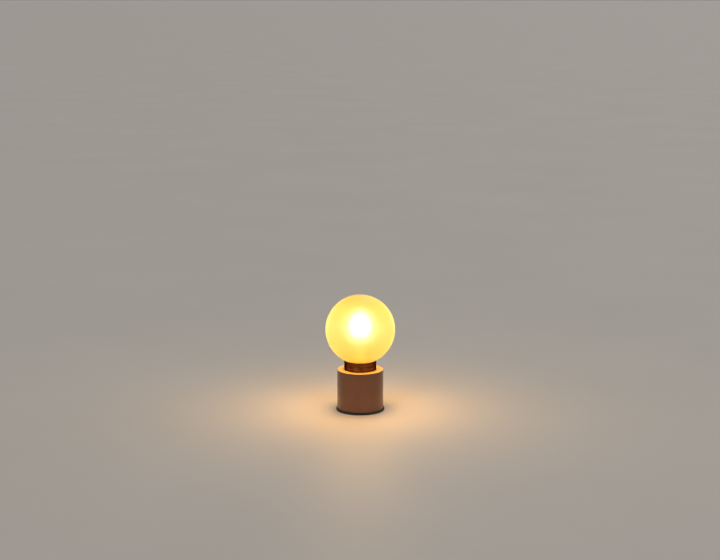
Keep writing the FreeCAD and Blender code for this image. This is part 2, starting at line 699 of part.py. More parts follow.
def neutral_terminal():
    """Neutral terminal with the tab under the shell's rivet."""
    x, y = NEUTRAL_TERMINAL
    tab = block((x - 2.3, x + 2.3), (y - 2.3, 2.4), (TAB_LOW, LEDGE_TOP))
    piece = fused([tab, terminal_block(x, y)])
    return piece.cut(rod(RIVET_HOLE, TAB_LOW - 1, LEDGE_TOP + 1, RIVET_REACH, 0))


def terminal_screws():
    """Slotted grub screws of the two terminals."""
    screws = []
    for x, y in (LIVE_TERMINAL, NEUTRAL_TERMINAL):
        screw = rod(1.25, INSULATION_TOP + 0.1, 8.6, x, y)
        screws.append(screw.cut(centred(x, y, 0.5, 3.0, 6, INSULATION_TOP + 0.8)))
    return Part.makeCompound(screws)


def contact_guide():
    """Flanged brass cup in the porcelain floor. It holds the spring, and the plunger slides through it."""
    inner = CUP_RADIUS - CUP_WALL
    top = PORCELAIN_FLOOR + CUP_WALL
    return turned([
        (PLUNGER_STEM + GAP, CUP_BOTTOM), (CUP_RADIUS, CUP_BOTTOM), (CUP_RADIUS, PORCELAIN_FLOOR),
        (CUP_FLANGE, PORCELAIN_FLOOR), (CUP_FLANGE, top), (inner, top), (inner, CUP_BOTTOM + CUP_WALL),
        (PLUNGER_STEM + GAP, CUP_BOTTOM + CUP_WALL),
    ])


def contact_spring():
    """Coil spring that pushes the plunger up, with room at both ends."""
    low = CUP_BOTTOM + CUP_WALL + SPRING_WIRE + 0.02
    high = PLUNGER_HEAD_LOW - SPRING_WIRE - 0.02
    path = spring_path(SPRING_MEAN, (high - low) / SPRING_TURNS, low, high)
    start = FreeCAD.Vector(SPRING_MEAN, 0, low)
    section = Part.Wire([Part.makeCircle(SPRING_WIRE, start, FreeCAD.Vector(0, 1, 0))])
    return path.makePipeShell([section], True, True)


def contact_plunger():
    """Sprung centre contact: a domed head on a stem, grooved for its clip."""
    head = 3.6
    groove_top = CLIP_LOW + 0.4
    head_edge = PLUNGER_HEAD_LOW + 0.5
    return turned([
        (0, CLIP_LOW - 0.3), (PLUNGER_STEM, CLIP_LOW - 0.3), (PLUNGER_STEM, CLIP_LOW),
        (PLUNGER_NECK, CLIP_LOW), (PLUNGER_NECK, groove_top), (PLUNGER_STEM, groove_top),
        (PLUNGER_STEM, PLUNGER_HEAD_LOW), (head, PLUNGER_HEAD_LOW), (head, head_edge),
        dome(head, head_edge, PLUNGER_TOP),
    ])


def plunger_clip():
    """E-clip on the plunger's stem under the cup."""
    ring = tube(2.0, PLUNGER_NECK + 0.01, CLIP_LOW + 0.01, CLIP_LOW + 0.39)
    return ring.cut(block((0, 3), (-0.4, 0.4), (8, 9.5)))


def ballast_plate():
    """Steel weight on the base plate, cut away for the bosses and the cord."""
    disc = rod(18.1, PLATE_TOP, BALLAST_TOP)
    holes = [rod(BOSS_RADIUS + 0.2, 0, 10, x, y) for x, y in boss_places()]
    return disc.cut([*holes, block((-5.6, 5.6), (9.0, 20), (0, 10))])


def insulation_disc():
    """Insulating sheet between the weight and the terminals."""
    disc = rod(15.2, BALLAST_TOP, INSULATION_TOP)
    holes = [rod(BOSS_RADIUS + 0.3, 0, 10, x, y) for x, y in boss_places()]
    return disc.cut([*holes, block((-5.8, 5.8), (9.0, 20), (0, 10))])


def base_plate():
    """Steel disc that closes the base, countersunk for three screws."""
    disc = rod(18.2, FOOT_TOP, PLATE_TOP)
    sink = Part.makeCone(2.4, 1.3, 1.1, FreeCAD.Vector(0, 0, FOOT_TOP), UP)
    cuts = []
    for x, y in boss_places():
        cone = sink.copy()
        cone.translate(FreeCAD.Vector(x, y, 0))
        cuts.extend([cone, rod(1.3, 0, 5, x, y)])
    return disc.cut(cuts)


def base_plate_screws():
    """Three countersunk screws up into the bosses."""
    screws = []
    for x, y in boss_places():
        screw = turned([
            (0, FOOT_TOP + GAP), (2.25, FOOT_TOP + GAP), (1.0, FOOT_TOP + 1.3),
            (1.0, 7.6), (0.4, 8.2), (0, 8.2),
        ])
        screw.translate(FreeCAD.Vector(x, y, 0))
        screws.append(screw.cut(cross_slot(x, y, 1, FOOT_TOP + 0.65)))
    return Part.makeCompound(screws)


def foot_ring():
    """Soft foot ring under the base, a little wider than the case."""
    inner, edge = 15.6, 0.6
    return turned([
        (inner, 0), (FOOT_RADIUS - edge, 0),
        ((FOOT_RADIUS - edge * 0.293, edge * 0.293), (FOOT_RADIUS, edge)),
        (FOOT_RADIUS, FOOT_TOP - 0.5), ((FOOT_RADIUS - 0.15, FOOT_TOP - 0.15), (FOOT_RADIUS - 0.5, FOOT_TOP)),
        (inner, FOOT_TOP),
    ])


def cord_bushing():
    """Snap-in bushing at the back that a flexible cord passes through."""
    body = rear_rod(BUSHING_RADIUS, BUSHING_INNER_END, BASE_RADIUS)
    barbs = Part.makeCone(BUSHING_RADIUS, 4.25, 0.65, FreeCAD.Vector(0, 17.05, CORD_HEIGHT), BACK)
    flange = rear_rod(BUSHING_FLANGE, 19.0, BUSHING_OUTER_END).cut(rod(BASE_RADIUS + GAP / 2, 0, 20))
    piece = fused([body, barbs, flange])
    end_edges = [edge for edge in piece.Edges if edge.BoundBox.YMin > BUSHING_OUTER_END - 0.01]
    rim = [edge for edge in end_edges if abs(edge.BoundBox.XLength - 2 * BUSHING_FLANGE) < 0.01]
    piece = piece.makeFillet(0.6, rim)
    return piece.cut(rear_rod(CORD_BORE, 0, 30))


NODES = {
    "glass_globe": glass_globe,
    "neck_collar": neck_collar,
    "neck_cement": neck_cement,
    "cap_shell": cap_shell,
    "cap_insulator": cap_insulator,
    "cap_tip_contact": cap_tip_contact,
    "driver_housing": driver_housing,
    "driver_board": driver_board,
    "bulk_capacitor": bulk_capacitor,
    "line_capacitor": line_capacitor,
    "rectifier": rectifier,
    "driver_chip": driver_chip,
    "power_inductor": power_inductor,
    "inductor_winding": inductor_winding,
    "fuse_resistor": fuse_resistor,
    "live_lead": live_lead,
    "neutral_lead": neutral_lead,
    "stem_plate": stem_plate,
    "reflector_disc": reflector_disc,
    "stem_screws": stem_screws,
    "stem_tube": stem_tube,
    "led_column": led_column,
    "led_strips": led_strips,
    "warm_leds": lambda: leds(0),
    "cool_leds": lambda: leds(1),
    "column_cap": column_cap,
    "column_diffuser": column_diffuser,
    "radio_board": radio_board,
    "radio_shield": radio_shield,
    "antenna_trace": antenna_trace,
    "led_harness": led_harness,
    "base_housing": base_housing,
    "top_cover": top_cover,
    "socket_porcelain": socket_porcelain,
    "screw_shell": screw_shell,
    "shell_rivets": shell_rivets,
    "rivet_washer": rivet_washer,
    "live_terminal": live_terminal,
    "neutral_terminal": neutral_terminal,
    "terminal_screws": terminal_screws,
    "contact_guide": contact_guide,
    "contact_spring": contact_spring,
    "contact_plunger": contact_plunger,
    "plunger_clip": plunger_clip,
    "ballast_plate": ballast_plate,
    "insulation_disc": insulation_disc,
    "base_plate": base_plate,
    "base_plate_screws": base_plate_screws,
    "foot_ring": foot_ring,
    "cord_bushing": cord_bushing,
}

os.makedirs("parts", exist_ok=True)
for node, make in NODES.items():
    shape = make()
    solids = shape.Solids
    volume = sum(solid.Volume for solid in solids)
    print(f"{node}: {len(solids)} solid(s), {volume:.1f} mm3, valid {shape.isValid()}")
    shape.exportStep(f"parts/{node}.step")
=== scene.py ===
import json
import math

import bmesh
import bpy
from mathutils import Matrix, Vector


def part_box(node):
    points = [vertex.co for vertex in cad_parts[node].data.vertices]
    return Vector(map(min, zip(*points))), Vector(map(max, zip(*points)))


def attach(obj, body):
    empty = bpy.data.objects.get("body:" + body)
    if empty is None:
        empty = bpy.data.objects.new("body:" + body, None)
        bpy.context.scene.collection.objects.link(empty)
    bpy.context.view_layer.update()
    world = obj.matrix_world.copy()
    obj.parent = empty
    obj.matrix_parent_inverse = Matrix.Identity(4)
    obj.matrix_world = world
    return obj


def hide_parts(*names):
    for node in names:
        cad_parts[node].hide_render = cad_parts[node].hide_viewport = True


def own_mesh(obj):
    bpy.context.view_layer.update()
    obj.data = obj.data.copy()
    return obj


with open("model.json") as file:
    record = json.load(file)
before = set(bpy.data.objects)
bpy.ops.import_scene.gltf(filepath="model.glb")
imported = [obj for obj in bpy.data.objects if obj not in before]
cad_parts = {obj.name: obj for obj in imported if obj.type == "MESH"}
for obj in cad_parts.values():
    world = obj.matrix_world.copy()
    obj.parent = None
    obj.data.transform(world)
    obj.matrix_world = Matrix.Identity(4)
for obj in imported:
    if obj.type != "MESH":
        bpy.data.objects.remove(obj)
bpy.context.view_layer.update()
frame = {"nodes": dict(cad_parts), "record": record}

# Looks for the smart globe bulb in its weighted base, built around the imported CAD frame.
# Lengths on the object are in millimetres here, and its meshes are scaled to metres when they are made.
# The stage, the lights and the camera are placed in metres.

MM = 0.001


# Sizes read from the frame.


def reach(node):
    """Outer radius, lowest height and highest height of a node about the Z axis."""
    low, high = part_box(node)
    return high.x / MM, low.z / MM, high.z / MM


GLOBE_RADIUS = 30.0
NECK_LOW, GLOBE_TOP = reach("glass_globe")[1:]
GLOBE_CENTRE = GLOBE_TOP - GLOBE_RADIUS
COLLAR_RADIUS, COLLAR_LOW = reach("neck_collar")[:2]
COLLAR_GROOVE = 40.35
CAP_BOTTOM, CAP_TOP = reach("cap_shell")[1:]
DIFFUSER_RADIUS, DIFFUSER_LOW, DIFFUSER_TOP = reach("column_diffuser")
SHELL_LOW, SHELL_TOP = reach("screw_shell")[1:]
SPRING_RADIUS, SPRING_LOW, SPRING_TOP = reach("contact_spring")
COVER_TOP = reach("top_cover")[2]
FOOT_RADIUS, FOOT_LOW, FOOT_TOP = reach("foot_ring")

# E27 thread, as in the CAD: seven turns to the inch, with round crests and roots of one radius.
# THREAD_PHASE is the height of a crest on the X axis.
PITCH = 25.4 / 7
THREAD_ARC = 1.025
THREAD_PHASE = 35.67
CAP_CREST = 13.15
THREAD_DEPTH = 2 * (THREAD_ARC - math.sqrt(THREAD_ARC**2 - (PITCH / 4) ** 2))
CAP_ROOT = CAP_CREST - THREAD_DEPTH
CLEARANCE = 0.3
SHEET = 0.4


# Mesh building.


def new_piece(name, verts, faces, material, smooth_angle=35):
    """Mesh object from points in millimetres, smooth-shaded with sharp edges kept."""
    mesh = bpy.data.meshes.new(name)
    mesh.from_pydata([(x * MM, y * MM, z * MM) for x, y, z in verts], [], faces)
    mesh.validate()
    bm = bmesh.new()
    bm.from_mesh(mesh)
    bmesh.ops.recalc_face_normals(bm, faces=bm.faces)
    bm.to_mesh(mesh)
    bm.free()
    mesh.shade_smooth()
    mesh.set_sharp_from_angle(angle=math.radians(smooth_angle))
    mesh.materials.append(material)
    piece = bpy.data.objects.new(name, mesh)
    bpy.context.scene.collection.objects.link(piece)
    return piece


def rounded(corners, steps=6):
    """Outline with its corners filleted. A corner is (r, z) or (r, z, fillet radius)."""
    out = []
    count = len(corners)
    for i, corner in enumerate(corners):
        here = Vector(corner[:2])
        radius = corner[2] if len(corner) > 2 else 0
        before = Vector(corners[i - 1][:2]) - here
        after = Vector(corners[(i + 1) % count][:2]) - here
        if radius <= 0:
            out.append(tuple(here))
            continue
        half = before.angle(after) / 2
        setback = min(radius / math.tan(half), before.length * 0.49, after.length * 0.49)
        start = here + before.normalized() * setback
        end = here + after.normalized() * setback
        bulge = setback * math.tan(half)
        centre = here + (before.normalized() + after.normalized()).normalized() * (bulge / math.sin(half))
        first, last = start - centre, end - centre
        turn = first.angle_signed(last)
        for k in range(steps + 1):
            angle = -turn * k / steps
            out.append((
                centre.x + first.x * math.cos(angle) - first.y * math.sin(angle),
                centre.y + first.x * math.sin(angle) + first.y * math.cos(angle),
            ))
    return out


def turns(segments):
    """Evenly spaced angles round a full turn."""
    return [2 * math.pi * i / segments for i in range(segments)]


def steps_between(start, end, count):
    """Evenly spaced numbers from one to another, both ends among them."""
    return [start + (end - start) * k / count for k in range(count + 1)]


def loop_faces(rows, sides, joined):
    """Four-sided faces from each closed row of vertices to the next, and from last to first if joined."""
    faces = []
    for k in range(rows if joined else rows - 1):
        here, following = k * sides, (k + 1) % rows * sides
        for i in range(sides):
            j = (i + 1) % sides
            faces.append([here + i, here + j, following + j, following + i])
    return faces


def lathe(name, outline, material, segments=160, smooth_angle=35):
    """Closed solid of revolution about Z from a closed outline of (r, z).

    Each point on the axis becomes one vertex.
    """
    verts, rings = [], []
    for r, z in outline:
        if r < 1e-6:
            rings.append([len(verts)] * segments)
            verts.append((0, 0, z))
        else:
            rings.append([len(verts) + i for i in range(segments)])
            verts.extend((r * math.cos(a), r * math.sin(a), z) for a in turns(segments))
    faces = []
    for k, ring in enumerate(rings):
        following = rings[(k + 1) % len(rings)]
        for i in range(segments):
            j = (i + 1) % segments
            corners = [ring[i], ring[j], following[j], following[i]]
            corners = [c for n, c in enumerate(corners) if c not in corners[:n]]
            if len(corners) > 2:
                faces.append(corners)
    return new_piece(name, verts, faces, material, smooth_angle)


def arc(centre, radius, start, end, steps):
    """Points on an arc in the (r, z) plane, from one angle to another in degrees."""
    points = []
    for k in range(steps + 1):
        angle = math.radians(start + (end - start) * k / steps)
        points.append((centre[0] + radius * math.cos(angle), centre[1] + radius * math.sin(angle)))
    return points


def wave(u, bulge=0.0):
    """Height of the thread's round profile above its root, at u pitches from a crest.

    bulge fattens the profile evenly.
    """
    along = abs(u - round(u)) * PITCH
    crest_arc, root_arc = THREAD_ARC + bulge, THREAD_ARC - bulge
    if along <= PITCH / 4 * crest_arc / THREAD_ARC:
        return THREAD_DEPTH - crest_arc + math.sqrt(crest_arc**2 - along**2)
    return root_arc - math.sqrt(max(root_arc**2 - (PITCH / 2 - along) ** 2, 0))


def smoothstep(low, high, value):
    """0 below low and 1 above high, with a smooth rise between."""
    t = min(max((value - low) / (high - low), 0), 1)
    return t * t * (3 - 2 * t)


def thread_height(angle, z, low, high, bulge=0.0):
    """Thread height at a place on the cylinder, faded in above low and out below high along the helix."""
    u = (z - THREAD_PHASE) / PITCH - angle / (2 * math.pi)
    crest = THREAD_PHASE + PITCH * (round(u) + angle / (2 * math.pi))
    fade = smoothstep(low, low + PITCH / 3, crest) * (1 - smoothstep(high - PITCH / 3, high, crest))
    return wave(u, bulge) * fade


def threaded_shell(name, rings, thread, material, segments=180):
    """Closed shell through rings of (r, z, whether the thread stands on it).

    thread is the height where it starts, the height where it ends and its bulge.
    """
    verts = []
    for r, z, threaded in rings:
        for a in turns(segments):
            surface = r + (thread_height(a, z, *thread) if threaded else 0)
            verts.append((surface * math.cos(a), surface * math.sin(a), z))
    return new_piece(name, verts, loop_faces(len(rings), segments, True), material, smooth_angle=60)


def put(piece, body, node):
    """Makes a piece ride on a body and stand for a CAD node, which it hides."""
    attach(piece, body)
    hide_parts(node)
    return piece


# Material building.


class Paint:
    """A Principled material and the few nodes that vary it over the surface."""

    def __init__(self, name, **constants):
        self.material = bpy.data.materials.new(name)
        self.material.use_nodes = True
        self.tree = self.material.node_tree
        self.shader = self.tree.nodes["Principled BSDF"]
        self.place = self.tree.nodes.new("ShaderNodeTexCoord").outputs["Object"]
        for socket, value in constants.items():
            self.shader.inputs[socket.replace("_", " ")].default_value = value

    def link(self, output, node, socket):
        """Joins an output to a node's input."""
        self.tree.links.new(output, node.inputs[socket])

    def stretched(self, x, y, z):
        """Object coordinates scaled along each axis, in units of one over millimetres."""
        mapping = self.tree.nodes.new("ShaderNodeMapping")
        mapping.inputs["Scale"].default_value = (x / MM, y / MM, z / MM)
        self.link(self.place, mapping, "Vector")
        return mapping.outputs["Vector"]

    def polar(self, around, up):
        """Coordinates that wrap a turned surface: its angle, its radius and its height."""
        split = self.tree.nodes.new("ShaderNodeSeparateXYZ")
        self.link(self.place, split, "Vector")
        angle = self.tree.nodes.new("ShaderNodeMath")
        angle.operation = "ARCTAN2"
        self.link(split.outputs["Y"], angle, 0)
        self.link(split.outputs["X"], angle, 1)
        flat = self.tree.nodes.new("ShaderNodeCombineXYZ")
        self.link(split.outputs["X"], flat, "X")
        self.link(split.outputs["Y"], flat, "Y")
        length = self.tree.nodes.new("ShaderNodeVectorMath")
        length.operation = "LENGTH"
        self.link(flat.outputs["Vector"], length, 0)
        join = self.tree.nodes.new("ShaderNodeCombineXYZ")
        self.link(angle.outputs["Value"], join, "X")
        self.link(length.outputs["Value"], join, "Y")
        self.link(split.outputs["Z"], join, "Z")
        mapping = self.tree.nodes.new("ShaderNodeMapping")
        mapping.inputs["Scale"].default_value = (around, up / MM, up / MM)
        self.link(join.outputs["Vector"], mapping, "Vector")
        return mapping.outputs["Vector"]

    def noise(self, vector, detail=3.0, roughness=0.55):
        """Soft noise with one cell to each unit of the coordinates."""
        node = self.tree.nodes.new("ShaderNodeTexNoise")
        node.inputs["Scale"].default_value = 1.0
        node.inputs["Detail"].default_value = detail
        node.inputs["Roughness"].default_value = roughness
        self.link(vector, node, "Vector")
        return node.outputs["Fac"]

    def ramp(self, value, *stops):
        """Colour ramp of (place, colour) stops."""
        node = self.tree.nodes.new("ShaderNodeValToRGB")
        while len(node.color_ramp.elements) < len(stops):
            node.color_ramp.elements.new(0.5)
        for element, (place, colour) in zip(node.color_ramp.elements, stops):
            element.position = place
            element.color = (*colour, 1)
        self.link(value, node, "Fac")
        return node.outputs["Color"]

    def span(self, value, low, high, to_low, to_high):
        """Value moved from one range to another."""
        node = self.tree.nodes.new("ShaderNodeMapRange")
        for socket, number in zip(("From Min", "From Max", "To Min", "To Max"), (low, high, to_low, to_high)):
            node.inputs[socket].default_value = number
        self.link(value, node, "Value")
        return node.outputs["Result"]

    def height(self, low, high):
        """How far up a place is, from 0 at a low height to 1 at a high one, both in millimetres."""
        split = self.tree.nodes.new("ShaderNodeSeparateXYZ")
        self.link(self.place, split, "Vector")
        return self.span(split.outputs["Z"], low * MM, high * MM, 0, 1)

    def shaded(self, colour, value, low, high):
        """A colour made lighter or darker between two shares, as a noise goes."""
        node = self.tree.nodes.new("ShaderNodeVectorMath")
        node.operation = "MULTIPLY"
        self.link(colour, node, 0)
        self.link(self.span(value, 0.3, 0.7, low, high), node, 1)
        return node.outputs["Vector"]

    def colour(self, output):
        """Sets the base colour."""
        self.link(output, self.shader, "Base Color")
        return self

    def rough(self, value, low, high):
        """Roughness that follows a noise between two values."""
        self.link(self.span(value, 0.3, 0.7, low, high), self.shader, "Roughness")
        return self

    def bump(self, value, depth):
        """Surface relief of a depth in millimetres, on top of any that is there."""
        node = self.tree.nodes.new("ShaderNodeBump")
        node.inputs["Distance"].default_value = depth * MM
        node.inputs["Strength"].default_value = 1.0
        self.link(value, node, "Height")
        earlier = self.shader.inputs["Normal"].links
        if earlier:
            self.link(earlier[0].from_socket, node, "Normal")
        self.link(node.outputs["Normal"], self.shader, "Normal")
        return self

    def streaked(self, amount):
        """Stretches highlights up and down, as the fine rings of a turned surface do."""
        tangent = self.tree.nodes.new("ShaderNodeTangent")
        tangent.direction_type = "RADIAL"
        tangent.axis = "Z"
        self.link(tangent.outputs["Tangent"], self.shader, "Tangent")
        self.shader.inputs["Anisotropic"].default_value = amount
        self.shader.inputs["Anisotropic Rotation"].default_value = 0.25
        return self


def toned(colour, share):
    """A colour made darker by a share under 1, or lighter by one over 1."""
    return tuple(min(c * share, 1.0) for c in colour)


def satin_paint(name, colour, grain=2.2, side=None, edge=0.0):
    """Powder coat: faint mottling, orange peel, fine specks and slightly uneven gloss.

    side is the colour of what lies below the height of edge, where that isn't the same: a painted shade,
    darker than the lit top.
    """
    paint = Paint(name, IOR=1.5, Coat_Weight=0.3, Coat_Roughness=0.2)
    mottle = paint.noise(paint.stretched(0.07, 0.07, 0.07), 5, 0.62)
    peel = paint.noise(paint.stretched(0.9, 0.9, 0.9), 2)
    speck = paint.noise(paint.stretched(grain, grain, grain), 2)
    # Below edge the colour turns to side, where one is given; on the cover that is painted shade on the rim's
    # side.
    coat_and_painted_shade = paint.ramp(paint.height(edge - 0.03, edge + 0.03), (0, side or colour), (1, colour))
    paint.colour(paint.shaded(coat_and_painted_shade, mottle, 0.90, 1.06))
    paint.rough(mottle, 0.28, 0.40)
    return paint.bump(peel, 0.02).bump(speck, 0.014).material


def turned_metal(name, colour, dark, low=0.2, high=0.34, marks=6.0, streaks=0.0):
    """Plated or turned metal: fine rings round the axis, and tarnish in soft patches."""
    paint = Paint(name, Metallic=1.0, Specular_Tint=(*toned(dark, 0.8), 1))
    rings = paint.noise(paint.polar(0.3, marks), 2)
    patches = paint.noise(paint.stretched(0.16, 0.16, 0.16), 5, 0.62)
    paint.colour(paint.ramp(patches, (0.32, dark), (0.62, colour)))
    paint.rough(patches, high, low)
    if streaks:
        paint.streaked(streaks)
    return paint.bump(rings, 0.008).material


def plastic(name, colour, rough=0.45, grain=1.6, depth=0.02):
    """Moulded plastic: faint mottling and a fine spark-eroded grain."""
    paint = Paint(name, IOR=1.46)
    mottle = paint.noise(paint.stretched(0.12, 0.12, 0.12), 3)
    fine = paint.noise(paint.stretched(grain, grain, grain), 3)
    paint.colour(paint.ramp(mottle, (0.3, toned(colour, 0.9)), (0.7, toned(colour, 1.08))))
    paint.rough(fine, rough - 0.06, rough + 0.08)
    return paint.bump(fine, depth).material


def ceramic(name, colour, rough=0.5):
    """Fired ceramic: pits and a speckle."""
    paint = Paint(name, IOR=1.5)
    body = paint.noise(paint.stretched(0.2, 0.2, 0.2), 4)
    pits = paint.noise(paint.stretched(3, 3, 3), 2)
    paint.colour(paint.ramp(pits, (0.28, toned(colour, 0.8)), (0.42, colour)))
    paint.rough(body, rough - 0.1, rough + 0.1)
    return paint.bump(pits, 0.03).material


def brushed(name, colour, direction=(6, 0.2, 0.2), low=0.25, high=0.4):
    """Drawn or brushed metal with its lines along one axis."""
    paint = Paint(name, Metallic=1.0)
    lines = paint.noise(paint.stretched(*direction), 3)
    patches = paint.noise(paint.stretched(0.3, 0.3, 0.3), 3)
    paint.colour(paint.ramp(patches, (0.3, toned(colour, 0.85)), (0.7, colour)))
    paint.rough(lines, low, high)
    return paint.bump(lines, 0.01).material


def rubber(name, colour):
    """Matt rubber with dust in its grain."""
    paint = Paint(name, IOR=1.5, Sheen_Weight=0.08)
    grain = paint.noise(paint.stretched(2.5, 2.5, 2.5), 4)
    dust = paint.noise(paint.stretched(0.15, 0.15, 0.15), 4)
    paint.colour(paint.ramp(dust, (0.35, colour), (0.75, toned(colour, 1.7))))
    paint.rough(grain, 0.68, 0.85)
    return paint.bump(grain, 0.04).material


def circuit_board(name, colour, line):
    """Solder mask over copper tracks."""
    paint = Paint(name, IOR=1.5, Coat_Weight=0.3, Coat_Roughness=0.12)
    tracks = paint.tree.nodes.new("ShaderNodeTexVoronoi")
    tracks.distance = "MANHATTAN"
    tracks.feature = "F1"
    tracks.inputs["Scale"].default_value = 1.0
    paint.link(paint.stretched(0.7, 0.7, 0.7), tracks, "Vector")
    distance = tracks.outputs["Distance"]
    paint.colour(paint.ramp(distance, (0.30, line), (0.36, colour), (0.60, colour), (0.66, line)))
    paint.rough(distance, 0.25, 0.38)
    return paint.bump(distance, 0.02).material


def glowing(name, colour, light, strength, ends=None):
    """Lit phosphor or opal plastic, with a fine grain.

    ends are the heights of its bottom and its top, if it fades towards them.
    """
    paint = Paint(name, Emission_Color=(*light, 1), Emission_Strength=strength)
    if ends:
        fade = paint.ramp(
            paint.height(*ends),
            (0, toned(light, 0.08)), (0.2, toned(light, 0.5)), (0.4, light),
            (0.76, light), (1, toned(light, 0.45)),
        )
        paint.link(fade, paint.shader, "Emission Color")
    grain = paint.noise(paint.stretched(4, 4, 4), 2)
    paint.colour(paint.ramp(grain, (0.35, toned(colour, 0.85)), (0.65, colour)))
    paint.rough(grain, 0.4, 0.55)
    return paint.bump(grain, 0.01).material


def frosted_glass(name, glows):
    """Acid-etched glass that lets the light column show as a soft core.

    The outer face also glows with the light that the glass scatters.
    """
    paint = Paint(name, IOR=1.45, Transmission_Weight=0.8)
    if glows:
        glow = paint.ramp(paint.height(GLOBE_CENTRE - GLOBE_RADIUS, GLOBE_TOP), *GLOBE_GLOW)
        paint.link(glow, paint.shader, "Emission Color")
        paint.shader.inputs["Emission Strength"].default_value = 1.0
    etch = paint.noise(paint.stretched(5, 5, 5), 2)
    cloud = paint.noise(paint.stretched(0.07, 0.07, 0.07), 3)
    paint.colour(paint.ramp(cloud, (0.3, (0.70, 0.55, 0.24)), (0.7, (0.72, 0.58, 0.27))))
    paint.rough(cloud, 0.36, 0.42)
    return paint.bump(etch, 0.006).material


# Main colours.
COPPER = (0.24, 0.083, 0.028)
COPPER_DARK = (0.14, 0.043, 0.013)
BRASS = (0.72, 0.50, 0.20)
BRASS_DARK = (0.42, 0.26, 0.09)
# The case's colour: a satin brown, painted darker as shade for its side, which the bulb's light doesn't
# reach.
BODY_WITH_PAINTED_SHADE = (0.18, 0.062, 0.022)
# The top plate's colour: a pale satin with the bulb's amber light painted into it as a more golden tone.
COVER_WITH_PAINTED_LIGHT = (0.64, 0.46, 0.14)
STEEL = (0.56, 0.56, 0.55)
BLACK = (0.012, 0.011, 0.010)

# The globe's glow from its bottom to its top: amber at both ends, paler beside the light column.
GLOBE_GLOW = (
    (0.05, (0.46, 0.21, 0.01)),
    (0.34, (0.46, 0.38, 0.06)),
    (0.62, (0.48, 0.44, 0.10)),
    (0.84, (0.46, 0.40, 0.05)),
    (1.0, (0.46, 0.24, 0.01)),
)

MATERIALS = {
    "frosted_glass": frosted_glass("frosted_glass", True),
    "collar_copper": turned_metal("collar_copper", COPPER, COPPER_DARK, 0.26, 0.36, streaks=0.85),
    "cap_copper": turned_metal("cap_copper", COPPER, COPPER_DARK, 0.24, 0.4, streaks=0.6),
    "cement": ceramic("cement", (0.50, 0.45, 0.36), 0.8),
    "black_glass": ceramic("black_glass", (0.014, 0.014, 0.016), 0.2),
    "solder": brushed("solder", (0.48, 0.48, 0.46), (1.5, 1.5, 1.5), 0.3, 0.5),
    "housing_plastic": plastic("housing_plastic", (0.70, 0.70, 0.66)),
    "board_green": circuit_board("board_green", (0.01, 0.09, 0.035), (0.02, 0.16, 0.06)),
    "board_white": circuit_board("board_white", (0.80, 0.80, 0.76), (0.66, 0.65, 0.58)),
    "board_blue": circuit_board("board_blue", (0.008, 0.03, 0.12), (0.012, 0.05, 0.20)),
    "capacitor_sleeve": plastic("capacitor_sleeve", (0.02, 0.02, 0.03), 0.25),
    "film_yellow": plastic("film_yellow", (0.68, 0.34, 0.02), 0.5),
    "chip_black": plastic("chip_black", (0.014, 0.014, 0.016), 0.6, 4),
    "ferrite": ceramic("ferrite", (0.035, 0.035, 0.038), 0.6),
    "copper": turned_metal("copper", (0.62, 0.24, 0.12), (0.42, 0.14, 0.06), 0.25, 0.35, 3),
    "resistor_body": ceramic("resistor_body", (0.12, 0.24, 0.18), 0.4),
    "tinned_wire": brushed("tinned_wire", (0.60, 0.60, 0.57)),
    "wire_insulation": plastic("wire_insulation", (0.55, 0.50, 0.44), 0.55),
    "aluminium": brushed("aluminium", (0.62, 0.63, 0.64), (0.3, 0.3, 5)),
    "white_reflector": plastic("white_reflector", (0.82, 0.82, 0.78), 0.6),
    "zinc_screw": turned_metal("zinc_screw", (0.52, 0.52, 0.50), (0.36, 0.36, 0.34), 0.25, 0.4, 4),
    "led_warm": glowing("led_warm", (0.95, 0.60, 0.10), (1.0, 0.86, 0.62), 24.0),
    "led_cool": glowing("led_cool", (0.92, 0.86, 0.35), (1.0, 0.95, 0.84), 24.0),
    "column_cap_plastic": plastic("column_cap_plastic", (0.76, 0.74, 0.68), 0.5),
    "opal_plastic": glowing(
        "opal_plastic", (0.86, 0.84, 0.78), (0.86, 0.90, 0.94), 10.0, (DIFFUSER_LOW, DIFFUSER_TOP),
    ),
    "tin_shield": brushed("tin_shield", (0.58, 0.58, 0.56), (0.3, 4, 0.3)),
    # The case's colour here carries painted shade.
    "base_satin": satin_paint("base_satin", BODY_WITH_PAINTED_SHADE),
    # The top face gets the pale colour with painted amber light; the rim's side below edge gets the case's
    # colour, as painted shade.
    "cover_satin": satin_paint("cover_satin", COVER_WITH_PAINTED_LIGHT, side=BODY_WITH_PAINTED_SHADE, edge=COVER_TOP - 0.2),
    "porcelain": ceramic("porcelain", (0.76, 0.73, 0.66), 0.42),
    "brass": turned_metal("brass", BRASS, BRASS_DARK, 0.22, 0.36, 4),
    "spring_steel": brushed("spring_steel", STEEL),
    "ballast_steel": turned_metal("ballast_steel", (0.28, 0.28, 0.28), (0.16, 0.15, 0.14), 0.35, 0.5, 2),
    "fish_paper": plastic("fish_paper", (0.05, 0.05, 0.055), 0.8, 3),
    "plate_steel": satin_paint("plate_steel", (0.045, 0.044, 0.042), 3),
    "foot_rubber": rubber("foot_rubber", BLACK),
    "bushing_nylon": plastic("bushing_nylon", (0.018, 0.017, 0.016), 0.5, 3),
}


def dress_cad():
    """Gives every carried-over CAD node its material."""
    for part in frame["record"]["subparts"]:
        piece = frame["nodes"][part["node"]]
        piece.data.materials.clear()
        piece.data.materials.append(MATERIALS[part["material_slot"]])


# The visible pieces, built finer than the CAD meshes.


